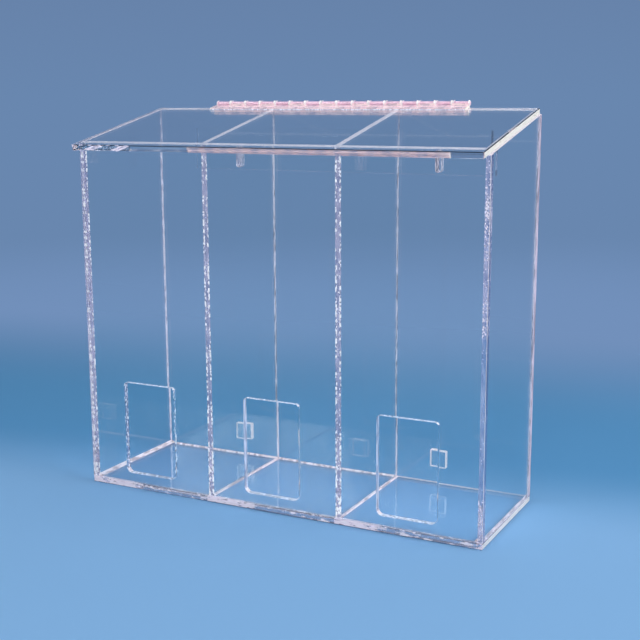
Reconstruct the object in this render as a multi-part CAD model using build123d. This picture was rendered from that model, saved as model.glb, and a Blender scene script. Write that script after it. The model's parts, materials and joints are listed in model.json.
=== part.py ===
from build123d import *
import math
import os

# ---------------------------------------------------------------------------
# Disposable glove dispenser: a clear acrylic case with three tall bays, a
# gathering window low in the front of each bay, and a sloping lid on a
# moulded piano hinge. It stands on its base, or hangs on two wall screws.
# Millimetres. X runs across the front, +Y to the back, +Z up. The origin is
# the centre of the base's underside.
# ---------------------------------------------------------------------------

# Case
case_width = 457.2
case_depth = 152.4
case_front_height = 371.5
case_back_height = 404.8
bay_count = 3
base_thickness = 6.35
wall_thickness = 6.35
divider_thickness = 6.35

# Front windows, one for each bay
window_width = 63.5
window_height = 101.6
window_sill = 11.1
window_lower_radius = 6.35
window_upper_radius = 3.2

# Lid
lid_thickness = 6.35
lid_side_inset = 1.6
lid_overhang = 14.3
lid_back_clearance = 0.5

# Moulded piano hinge, solvent-welded on the lid's top and the case's back
hinge_length = 304.8
hinge_open_width = 34.9
hinge_leaf_thickness = 2.4
hinge_leaf_bevel = 1.0
hinge_barrel_diameter = 6.35
hinge_pin_diameter = 2.4
hinge_knuckle_count = 16
hinge_knuckle_gap = 0.4
hinge_bore_clearance = 0.05
hinge_barrel_clearance = 0.3
hinge_notch_clearance = 0.4

# Hanging strip and its two screw slots
strip_width = 355.6
strip_height = 41.3
strip_thickness = 6.35
strip_drop = 21.5
slot_spacing = 244.5
slot_width = 6.35
slot_length = 19.05
slot_edge_distance = 2.5

# Wall spacers, which keep the hung case upright
spacer_size = 19.05
spacer_spacing = 250.0
spacer_lower_edge = 23.0

# Broken edges on the sheets
arris = 0.4

# ---------------------------------------------------------------------------
# Places that follow from the sizes above
# ---------------------------------------------------------------------------
half_width = case_width / 2
front_y = -case_depth / 2
back_y = case_depth / 2
inner_front = front_y + wall_thickness
inner_back = back_y - wall_thickness
inner_width = case_width - 2 * wall_thickness
floor_level = base_thickness
divider_count = bay_count - 1
bay_width = (inner_width - divider_count * divider_thickness) / bay_count
bay_pitch = bay_width + divider_thickness

seat_angle = math.atan2(case_back_height - case_front_height, case_depth)
seat_cos = math.cos(seat_angle)
seat_sin = math.sin(seat_angle)
lid_seat = Plane(
    origin=(0, front_y, case_front_height),
    x_dir=(1, 0, 0),
    z_dir=(0, -seat_sin, seat_cos),
)
lid_width = case_width - 2 * lid_side_inset
lid_front = -lid_overhang / seat_cos
lid_back = (case_depth - lid_back_clearance) / seat_cos

barrel_radius = hinge_barrel_diameter / 2
pin_standoff = barrel_radius + hinge_barrel_clearance
pin_y = back_y + pin_standoff
pin_rise = (pin_y - front_y) * seat_sin / seat_cos
pin_z = case_front_height + pin_rise + (lid_thickness + pin_standoff) / seat_cos
leaf_reach = hinge_open_width / 2
# The other leaf's glued face turns this far out, past its own back corner.
leaf_corner = pin_standoff * (1 + seat_sin) / seat_cos
leaf_notch = leaf_corner + hinge_notch_clearance
bore_diameter = hinge_pin_diameter + 2 * hinge_bore_clearance
knuckle_pitch = hinge_length / hinge_knuckle_count

window_lower_edge = floor_level + window_sill
strip_lower_edge = case_back_height - strip_drop - strip_height
slot_lower_edge = strip_lower_edge + slot_edge_distance

# The hinge's own frame: the pin runs along X, -Y points along the leaf and +Z
# points from the leaf's glued face to the pin.
lid_leaf_frame = Plane(
    origin=(0, pin_y, pin_z),
    x_dir=(1, 0, 0),
    z_dir=(0, -seat_sin, seat_cos),
)
back_leaf_frame = Plane(
    origin=(0, pin_y, pin_z),
    x_dir=(-1, 0, 0),
    z_dir=(0, 1, 0),
)


# ---------------------------------------------------------------------------
# Helpers
# ---------------------------------------------------------------------------
def box_between(x_range, y_range, z_range):
    """A block that fills the three given ranges."""
    size = [high - low for low, high in (x_range, y_range, z_range)]
    middle = [(high + low) / 2 for low, high in (x_range, y_range, z_range)]
    return Pos(*middle) * Box(*size)


def cut_to_seat(panel):
    """Trim an upright panel to the sloping plane that the lid rests on."""
    reach = 2 * (case_width + case_depth + case_back_height)
    above = lid_seat * Pos(0, 0, reach / 2) * Box(reach, reach, reach)
    return panel - above


def edges_along(shape, axis, test):
    """The shape's edges along one axis whose middle passes the test."""
    return [edge for edge in shape.edges().filter_by(axis) if test(edge.center())]


# ---------------------------------------------------------------------------
# Case panels
# ---------------------------------------------------------------------------
def base_panel():
    """The floor plate, which runs under every wall."""
    plate = box_between((-half_width, half_width), (front_y, back_y), (0, base_thickness))
    lower_rim = plate.faces().sort_by(Axis.Z)[0].edges()
    return chamfer(lower_rim, arris)


def window_cutter(centre_x):
    """The opening for one bay: rounded below, nearly square above."""
    middle_z = window_lower_edge + window_height / 2
    outline = Plane.XZ * Pos(centre_x, middle_z) * Rectangle(window_width, window_height)
    cutter = Pos(0, front_y, 0) * extrude(outline.face(), amount=2 * wall_thickness, both=True)
    lower_corners = edges_along(cutter, Axis.Y, lambda point: point.Z < middle_z)
    cutter = fillet(lower_corners, window_lower_radius)
    upper_corners = edges_along(cutter, Axis.Y, lambda point: point.Z > middle_z + window_height / 4)
    return fillet(upper_corners, window_upper_radius)


def front_panel():
    """The full-width front with one window for each bay."""
    panel = box_between(
        (-half_width, half_width),
        (front_y, inner_front),
        (floor_level, case_back_height),
    )
    panel = cut_to_seat(panel)
    for index in range(bay_count):
        centre_x = (index - (bay_count - 1) / 2) * bay_pitch
        panel -= window_cutter(centre_x)
    corners = edges_along(
        panel,
        Axis.Z,
        lambda point: point.Y < front_y + arris and abs(point.X) > half_width - arris,
    )
    return chamfer(corners, arris)


def slot_cutter(centre_x):
    """One upright hanging slot, long enough to pass the wall and the strip."""
    centre_z = slot_lower_edge + slot_length / 2
    outline = Plane.XZ * Pos(centre_x, centre_z) * Rot(0, 0, 90) * SlotOverall(slot_length, slot_width)
    depth = 2 * (wall_thickness + strip_thickness)
    return Pos(0, back_y, 0) * extrude(outline.face(), amount=depth, both=True)


def cut_slots(panel):
    """Cut both hanging slots through a panel."""
    for side in (-1, 1):
        panel -= slot_cutter(side * slot_spacing / 2)
    return panel


def back_panel():
    """The full-width back with the two hanging slots."""
    panel = box_between(
        (-half_width, half_width),
        (inner_back, back_y),
        (floor_level, case_back_height + wall_thickness),
    )
    panel = cut_slots(cut_to_seat(panel))
    corners = edges_along(
        panel,
        Axis.Z,
        lambda point: point.Y > back_y - arris and abs(point.X) > half_width - arris,
    )
    return chamfer(corners, arris)


def upright_between(centre_x, thickness):
    """A sheet that stands on the floor between the front and the back."""
    panel = box_between(
        (centre_x - thickness / 2, centre_x + thickness / 2),
        (inner_front, inner_back),
        (floor_level, case_back_height + wall_thickness),
    )
    return cut_to_seat(panel)


def side_panel(side):
    """The left (-1) or right (1) end wall."""
    return upright_between(side * (half_width - wall_thickness / 2), wall_thickness)


def divider_panel(index):
    """One of the walls between two bays, counted from the left."""
    centre_x = (index - (divider_count - 1) / 2) * bay_pitch
    return upright_between(centre_x, divider_thickness)


# ---------------------------------------------------------------------------
# Lid and hinge
# ---------------------------------------------------------------------------
def lid_panel():
    """The flat lid, in place on the sloping seat."""
    sheet = box_between((-lid_width / 2, lid_width / 2), (lid_front, lid_back), (0, lid_thickness))
    sheet = chamfer(sheet.edges(), arris)
    return lid_seat * sheet


def hinge_leaf(frame, first_knuckle):
    """A leaf of the piano hinge with every second knuckle of the barrel."""
    plate = box_between(
        (-hinge_length / 2, hinge_length / 2),
        (-leaf_reach, -leaf_notch),
        (-pin_standoff, -pin_standoff + hinge_leaf_thickness),
    )
    free_edge = edges_along(
        plate,
        Axis.X,
        lambda point: point.Y < -leaf_reach + arris and point.Z > -pin_standoff + arris,
    )
    leaf = chamfer(free_edge, hinge_leaf_bevel)
    for index in range(first_knuckle, hinge_knuckle_count, 2):
        low_x = -hinge_length / 2 + index * knuckle_pitch + hinge_knuckle_gap / 2
        high_x = low_x + knuckle_pitch - hinge_knuckle_gap
        barrel = Rot(0, 90, 0) * Cylinder(barrel_radius, high_x - low_x)
        web = box_between(
            (low_x, high_x),
            (-leaf_notch, 0),
            (-pin_standoff, -pin_standoff + hinge_leaf_thickness),
        )
        leaf += Pos((low_x + high_x) / 2, 0, 0) * barrel
        leaf += web
    bore = Rot(0, 90, 0) * Cylinder(bore_diameter / 2, 2 * hinge_length)
    return frame * (leaf - bore)


def hinge_pin():
    """The plain rod that runs through every knuckle."""
    rod = Rot(0, 90, 0) * Cylinder(hinge_pin_diameter / 2, hinge_length)
    return Pos(0, pin_y, pin_z) * rod


# ---------------------------------------------------------------------------
# Wall fittings on the back
# ---------------------------------------------------------------------------
def hanging_strip():
    """The strip that doubles the back where the screws carry the case."""
    strip = box_between(
        (-strip_width / 2, strip_width / 2),
        (back_y, back_y + strip_thickness),
        (strip_lower_edge, strip_lower_edge + strip_height),
    )
    outer_rim = strip.faces().sort_by(Axis.Y)[-1].edges()
    return cut_slots(chamfer(outer_rim, arris))


def wall_spacer(side):
    """The left (-1) or right (1) block, as thick as the hanging strip."""
    centre_x = side * spacer_spacing / 2
    block = box_between(
        (centre_x - spacer_size / 2, centre_x + spacer_size / 2),
        (back_y, back_y + strip_thickness),
        (spacer_lower_edge, spacer_lower_edge + spacer_size),
    )
    outer_rim = block.faces().sort_by(Axis.Y)[-1].edges()
    return chamfer(outer_rim, arris)


# ---------------------------------------------------------------------------
# One STEP file for each piece
# ---------------------------------------------------------------------------
pieces = {
    "base_panel": base_panel(),
    "front_panel": front_panel(),
    "back_panel": back_panel(),
    "left_side_panel": side_panel(-1),
    "right_side_panel": side_panel(1),
    "left_divider": divider_panel(0),
    "right_divider": divider_panel(divider_count - 1),
    "lid_panel": lid_panel(),
    "hinge_lid_leaf": hinge_leaf(lid_leaf_frame, 0),
    "hinge_back_leaf": hinge_leaf(back_leaf_frame, 0),
    "hinge_pin": hinge_pin(),
    "hanging_strip": hanging_strip(),
    "left_wall_spacer": wall_spacer(-1),
    "right_wall_spacer": wall_spacer(1),
}

os.makedirs("parts", exist_ok=True)
for name, piece in pieces.items():
    export_step(piece, f"parts/{name}.step")
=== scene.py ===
"""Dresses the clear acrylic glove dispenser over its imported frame.

Every piece is modelled in metres in the frame's own axes: +X along the front,
+Y to the hinge side, +Z up, with the origin under the middle of the base.
"""

import json
import logging
import math
from collections.abc import Callable, Iterable
from dataclasses import dataclass
from enum import Enum

import bmesh
import bpy
from mathutils import Matrix, Quaternion, Vector

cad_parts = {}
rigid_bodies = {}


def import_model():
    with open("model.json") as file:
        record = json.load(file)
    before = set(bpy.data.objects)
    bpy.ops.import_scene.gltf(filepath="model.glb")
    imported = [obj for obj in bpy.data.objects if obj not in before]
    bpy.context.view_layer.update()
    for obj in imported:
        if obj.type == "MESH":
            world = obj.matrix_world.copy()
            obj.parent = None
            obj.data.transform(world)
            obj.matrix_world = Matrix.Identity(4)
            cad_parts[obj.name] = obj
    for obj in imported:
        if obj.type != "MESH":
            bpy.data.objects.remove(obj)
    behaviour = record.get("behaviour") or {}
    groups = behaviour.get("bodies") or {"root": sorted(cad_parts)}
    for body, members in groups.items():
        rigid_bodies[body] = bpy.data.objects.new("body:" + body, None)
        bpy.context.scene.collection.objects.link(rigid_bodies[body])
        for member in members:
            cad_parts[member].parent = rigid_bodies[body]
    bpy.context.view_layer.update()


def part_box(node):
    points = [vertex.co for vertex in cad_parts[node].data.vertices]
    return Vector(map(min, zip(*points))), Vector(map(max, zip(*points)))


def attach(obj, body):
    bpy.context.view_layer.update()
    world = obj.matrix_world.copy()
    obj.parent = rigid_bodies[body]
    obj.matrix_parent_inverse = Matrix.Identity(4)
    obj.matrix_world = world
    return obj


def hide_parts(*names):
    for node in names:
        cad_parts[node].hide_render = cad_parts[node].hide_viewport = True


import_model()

log = logging.getLogger("glove_dispenser")
logging.basicConfig(level=logging.INFO, format="%(name)s: %(message)s")

Tree = bpy.types.NodeTree
Socket = bpy.types.NodeSocket
Material = bpy.types.Material
Object = bpy.types.Object
Face = bpy.types.MeshPolygon
Colour = tuple[float, float, float, float]
Span = tuple[float, float]
Place = tuple[float, float, float]

MM = 0.001
ACRYLIC_IOR = 1.49
WELD_DEPTH = 0.06 * MM
CUT_MARGIN = 5 * MM
ROUND_SEGMENTS = 8
SHARP_OVER = math.radians(30)
SMOOTH_UNDER = math.radians(20)
LEVEL = Vector((0, 1, 0))

# How much of a face's normal lies along an axis when the face is square to the
# axis, leans towards it, or is turned towards it at all.
SQUARE = 0.95
LEANING = 0.5
TURNED = 0.05


# ---------------------------------------------------------------------------
# Small helpers
# ---------------------------------------------------------------------------
class Element(Enum):
    """What a selection in edit mode is made of."""

    FACE = "FACE"
    EDGE = "EDGE"


class Blend(Enum):
    """How one body is combined with another."""

    JOIN = "UNION"
    CUT = "DIFFERENCE"


def linear_colour(hex_code: str) -> Colour:
    """Turn an sRGB hex colour into the linear colour that sockets take.

    Args:
        hex_code: Six hex digits after a hash.

    Returns:
        Linear red, green and blue, with an alpha of 1.
    """
    values = [int(hex_code[i : i + 2], 16) / 255 for i in (1, 3, 5)]
    linear = [v / 12.92 if v <= 0.04045 else ((v + 0.055) / 1.055) ** 2.4 for v in values]
    return (linear[0], linear[1], linear[2], 1.0)


def add_node(
    tree: Tree,
    kind: str,
    inputs: dict[str | int, object] | None = None,
    **settings: object,
) -> bpy.types.Node:
    """Add a node, set its properties, and fill or link its inputs.

    Args:
        tree: The node tree that receives the node.
        kind: The node's type name.
        inputs: Input name or index to a plain value or to another node's output.
        **settings: Properties of the node itself.

    Returns:
        The new node.
    """
    node = tree.nodes.new(kind)
    for name, value in settings.items():
        setattr(node, name, value)
    for key, value in (inputs or {}).items():
        if isinstance(value, Socket):
            tree.links.new(value, node.inputs[key])
        else:
            node.inputs[key].default_value = value
    return node


def empty_material(name: str) -> Material:
    """Make a material whose node tree is still empty.

    Args:
        name: The new material's name.

    Returns:
        The material.
    """
    mat = bpy.data.materials.new(name)
    mat.use_nodes = True
    mat.node_tree.nodes.clear()
    return mat


def deselect_all() -> None:
    """Clear the selection, which the loaded frame leaves full."""
    for thing in bpy.context.scene.objects:
        thing.select_set(False)


def make_active(piece: Object) -> None:
    """Select one object alone and make it the active one.

    Args:
        piece: The object.
    """
    deselect_all()
    piece.select_set(True)
    bpy.context.view_layer.objects.active = piece


def select_in_edit_mode(
    piece: Object,
    kind: Element,
    test: Callable[[bmesh.types.BMFace | bmesh.types.BMEdge], bool],
) -> None:
    """Enter edit mode and select the faces or edges that pass a test.

    Args:
        piece: The mesh object to edit.
        kind: Whether faces or edges are selected.
        test: Called with each face or edge; True selects it.
    """
    make_active(piece)
    bpy.ops.object.mode_set(mode="EDIT")
    bpy.ops.mesh.select_mode(type=kind.value)
    bpy.ops.mesh.select_all(action="DESELECT")
    mesh = bmesh.from_edit_mesh(piece.data)
    elements = mesh.faces if kind is Element.FACE else mesh.edges
    for element in [element for element in elements if test(element)]:
        element.select_set(True)
    bmesh.update_edit_mesh(piece.data)


def leave_edit_mode() -> None:
    """Go back to object mode."""
    bpy.ops.object.mode_set(mode="OBJECT")


def split(
    piece: Object,
    point: Vector,
    normal: Vector,
    trim: bool = False,
    test: Callable[[bmesh.types.BMFace], bool] = lambda face: True,
) -> None:
    """Divide the faces of a piece along a plane.

    Args:
        piece: The object to divide.
        point: A point of the plane.
        normal: The plane's normal.
        trim: Whether the side that the normal points to is cut off and closed.
        test: Called with each face; True lets the plane divide it.
    """
    select_in_edit_mode(piece, Element.FACE, test)
    bpy.ops.mesh.bisect(plane_co=point, plane_no=normal, use_fill=trim, clear_outer=trim)
    leave_edit_mode()


def bevel_edges(
    piece: Object,
    test: Callable[[bmesh.types.BMEdge], bool],
    width: float,
    segments: int = 1,
) -> None:
    """Bevel or round the edges that pass a test.

    Args:
        piece: The object to change.
        test: Called with each edge; True bevels it.
        width: Width of the bevel, or radius of the round.
        segments: Number of flats in it.
    """
    select_in_edit_mode(piece, Element.EDGE, test)
    bpy.ops.mesh.bevel(offset=width, segments=segments, affect="EDGES")
    leave_edit_mode()


def apply_modifier(piece: Object, kind: str, **settings: object) -> None:
    """Add a modifier with its settings and apply it at once.

    Args:
        piece: The object to change.
        kind: The modifier's type name.
        **settings: Properties of the modifier.
    """
    make_active(piece)
    modifier = piece.modifiers.new(kind.title(), kind)
    for name, value in settings.items():
        setattr(modifier, name, value)
    bpy.ops.object.modifier_apply(modifier=modifier.name)


def copy_piece(piece: Object, name: str) -> Object:
    """Copy a piece, with a mesh of its own.

    Args:
        piece: The object to copy.
        name: The copy's name.

    Returns:
        The copy.
    """
    mesh = piece.data.copy()
    mesh.name = name
    copy = bpy.data.objects.new(name, mesh)
    bpy.context.collection.objects.link(copy)
    return copy


def combine(
    piece: Object, tools: Iterable[Object], blend: Blend, shifts: Iterable[float] = (0.0,)
) -> None:
    """Join or cut a piece with copies of tool bodies, and remove the tools.

    Args:
        piece: The object that is changed.
        tools: The tool bodies, each modelled once.
        blend: Whether their copies are joined on or cut away.
        shifts: How far each set of copies is moved along X.
    """
    for shift in shifts:
        for tool in tools:
            copy = copy_piece(tool, f"{tool.name}_copy")
            copy.data.transform(Matrix.Translation((shift, 0, 0)))
            apply_modifier(piece, "BOOLEAN", operation=blend.value, object=copy, solver="EXACT")
            bpy.data.objects.remove(copy)
    for tool in tools:
        bpy.data.objects.remove(tool)


def break_edges(piece: Object, width: float) -> None:
    """Take the sharpness off every edge of more than 30 degrees.

    Args:
        piece: The object to change.
        width: Width of the broken edge.
    """
    apply_modifier(
        piece,
        "BEVEL",
        width=width,
        segments=1,
        limit_method="ANGLE",
        angle_limit=SHARP_OVER,
        harden_normals=False,
    )


def smooth(piece: Object) -> None:
    """Shade a piece smooth where its faces meet at a low angle."""
    make_active(piece)
    bpy.ops.object.shade_smooth_by_angle(angle=SMOOTH_UNDER)


def name_primitive(name: str) -> Object:
    """Name the new primitive and put its place and size in its mesh.

    Args:
        name: The new object's name.

    Returns:
        The object.
    """
    piece = bpy.context.object
    piece.name = name
    piece.data.name = name
    bpy.ops.object.transform_apply(location=True, rotation=True, scale=True)
    return piece


def block(name: str, low: Vector, high: Vector) -> Object:
    """Add a cube primitive that fills the space between two corners.

    Args:
        name: The new object's name.
        low: Lowest corner in metres.
        high: Highest corner in metres.

    Returns:
        The block, with its place and size in its mesh.
    """
    deselect_all()
    bpy.ops.mesh.primitive_cube_add(size=1.0, location=(low + high) / 2, scale=high - low)
    return name_primitive(name)


def rod(name: str, centre: Vector, radius: float, length: float, sides: int) -> Object:
    """Add a cylinder primitive that lies along X.

    Args:
        name: The new object's name.
        centre: Middle of the cylinder in metres.
        radius: Radius in metres.
        length: Length along X in metres.
        sides: Number of flats round it.

    Returns:
        The cylinder, with its place in its mesh.
    """
    deselect_all()
    bpy.ops.mesh.primitive_cylinder_add(
        vertices=sides,
        radius=radius,
        depth=length,
        location=centre,
        rotation=(0, math.pi / 2, 0),
    )
    return name_primitive(name)


def runs_through(edge: bmesh.types.BMEdge) -> bool:
    """Whether a cutter's edge runs through the sheet, from front to back."""
    return abs(edge.verts[0].co.y - edge.verts[1].co.y) > CUT_MARGIN


# ---------------------------------------------------------------------------
# Finishes
# ---------------------------------------------------------------------------
@dataclass(frozen=True)
class CastFace:
    """Factory face of cast acrylic sheet: clear, glossy, faintly wavy."""

    name: str = "cast_acrylic_polished_face"
    tint: str = "#fbfdfd"
    lamp_pass: str = "#f4f8fa"
    wave_length: float = 70 * MM
    wave_height: float = 0.02 * MM
    wave_strength: float = 0.25

    def material(self) -> Material:
        """Build the material: clear glass that lets lamps straight through.

        Returns:
            The finished material.
        """
        mat = empty_material(self.name)
        tree = mat.node_tree
        place = add_node(tree, "ShaderNodeTexCoord").outputs["Object"]
        # Cast sheet is never quite flat, so reflections bend a little.
        wave = add_node(
            tree,
            "ShaderNodeTexNoise",
            {"Vector": place, "Scale": 1 / self.wave_length, "Detail": 1.0},
        )
        bump = add_node(
            tree,
            "ShaderNodeBump",
            {
                "Height": wave.outputs["Fac"],
                "Strength": self.wave_strength,
                "Distance": self.wave_height,
            },
        )
        clear = add_node(
            tree,
            "ShaderNodeBsdfPrincipled",
            {
                "Base Color": linear_colour(self.tint),
                "Roughness": 0.0,
                "IOR": ACRYLIC_IOR,
                "Transmission Weight": 1.0,
                "Normal": bump.outputs["Normal"],
            },
        )
        lamps = add_node(
            tree, "ShaderNodeBsdfTransparent", {"Color": linear_colour(self.lamp_pass)}
        )
        shadow = add_node(tree, "ShaderNodeLightPath").outputs["Is Shadow Ray"]
        mix = add_node(
            tree, "ShaderNodeMixShader", {0: shadow, 1: clear.outputs[0], 2: lamps.outputs[0]}
        )
        add_node(tree, "ShaderNodeOutputMaterial", {"Surface": mix.outputs[0]})
        return mat


@dataclass(frozen=True)
class ScatteringEdge:
    """An acrylic surface that was sawn, drilled or cemented, so it scatters.

    White parts scatter the light that runs inside the sheet. Between them the
    surface is wetted or smooth, and the eye sees through. The white breaks up
    along grain_axis by streak, and fades in patches of patch_size. Where a
    run_pitch is set, it rises again over run_share of each pitch.
    """

    name: str
    bright: str
    dim: str
    speck_size: float
    white_from: float
    white_to: float
    least_white: float
    streak: float = 1.0
    grain_axis: int = 2
    patch_size: float = 60 * MM
    patch_depth: float = 0.0
    patch_span: Span = (0.35, 0.6)
    run_pitch: float = 0.0
    run_start: float = 0.0
    run_share: float = 0.45
    run_rise: float = 0.0
    run_plateau: float = 0.6
    clear_roughness: float = 0.15
    clear_tint: str = "#ffffff"
    glow: float = 0.45

    def pattern(self, tree: Tree) -> tuple[Socket, Socket]:
        """Add the specks and the share of white that they give.

        Args:
            tree: The material's node tree.

        Returns:
            The specks and the share of white.
        """
        place = add_node(tree, "ShaderNodeTexCoord").outputs["Object"]
        stretch = [1.0, 1.0, 1.0]
        stretch[self.grain_axis] = 1 / self.streak
        run = add_node(tree, "ShaderNodeMapping", {"Vector": place, "Scale": tuple(stretch)})
        specks = add_node(
            tree,
            "ShaderNodeTexNoise",
            {
                "Vector": run.outputs["Vector"],
                "Scale": 1 / self.speck_size,
                "Detail": 2.0,
                "Roughness": 0.55,
            },
        ).outputs["Fac"]
        patches = add_node(
            tree,
            "ShaderNodeTexNoise",
            {"Vector": place, "Scale": 1 / self.patch_size, "Detail": 1.0},
        )
        lowered = add_node(
            tree,
            "ShaderNodeMapRange",
            {
                "Value": patches.outputs["Fac"],
                "From Min": self.patch_span[0],
                "From Max": self.patch_span[1],
                "To Min": self.patch_depth,
                "To Max": 0.0,
            },
        )
        level = add_node(
            tree,
            "ShaderNodeMath",
            {0: specks, 1: lowered.outputs["Result"]},
            operation="SUBTRACT",
        ).outputs[0]
        if self.run_pitch:
            level = self.add_run(tree, place, level)
        white = add_node(
            tree,
            "ShaderNodeMapRange",
            {
                "Value": level,
                "From Min": self.white_from,
                "From Max": self.white_to,
                "To Min": self.least_white,
                "To Max": 1.0,
            },
        )
        return specks, white.outputs["Result"]

    def add_run(self, tree: Tree, place: Socket, level: Socket) -> Socket:
        """Raise the white just right of each joint, where the cement was run in.

        Args:
            tree: The material's node tree.
            place: The place on the piece.
            level: The level so far.

        Returns:
            The raised level.
        """
        along = add_node(
            tree,
            "ShaderNodeMapRange",
            {
                "Value": add_node(tree, "ShaderNodeSeparateXYZ", {0: place}).outputs["X"],
                "From Min": self.run_start,
                "From Max": self.run_start + self.run_pitch,
            },
            clamp=False,
        )
        share = add_node(
            tree, "ShaderNodeMath", {0: along.outputs["Result"]}, operation="FRACT"
        )
        rise = add_node(
            tree,
            "ShaderNodeMapRange",
            {
                "Value": share.outputs[0],
                "From Min": self.run_share * self.run_plateau,
                "From Max": self.run_share,
                "To Min": self.run_rise,
                "To Max": 0.0,
            },
            interpolation_type="SMOOTHSTEP",
        )
        raised = add_node(
            tree, "ShaderNodeMath", {0: level, 1: rise.outputs["Result"]}, operation="ADD"
        )
        return raised.outputs[0]

    def material(self) -> Material:
        """Build the material: scattering white broken by clearer parts.

        Returns:
            The finished material.
        """
        mat = empty_material(self.name)
        tree = mat.node_tree
        specks, white = self.pattern(tree)
        ends = {"A": linear_colour(self.dim), "B": linear_colour(self.bright)}
        colour = add_node(tree, "ShaderNodeMix", {"Factor": specks, **ends}, data_type="RGBA")
        shade = {"Color": colour.outputs["Result"]}
        scatter = add_node(tree, "ShaderNodeBsdfDiffuse", shade)
        through = add_node(tree, "ShaderNodeBsdfTranslucent", shade)
        frost = add_node(
            tree,
            "ShaderNodeMixShader",
            {0: self.glow, 1: scatter.outputs[0], 2: through.outputs[0]},
        )
        clear = add_node(
            tree,
            "ShaderNodeBsdfPrincipled",
            {
                "Base Color": linear_colour(self.clear_tint),
                "Roughness": self.clear_roughness,
                "IOR": ACRYLIC_IOR,
                "Transmission Weight": 1.0,
            },
        )
        mix = add_node(
            tree, "ShaderNodeMixShader", {0: white, 1: clear.outputs[0], 2: frost.outputs[0]}
        )
        add_node(tree, "ShaderNodeOutputMaterial", {"Surface": mix.outputs[0]})
        return mat


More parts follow.
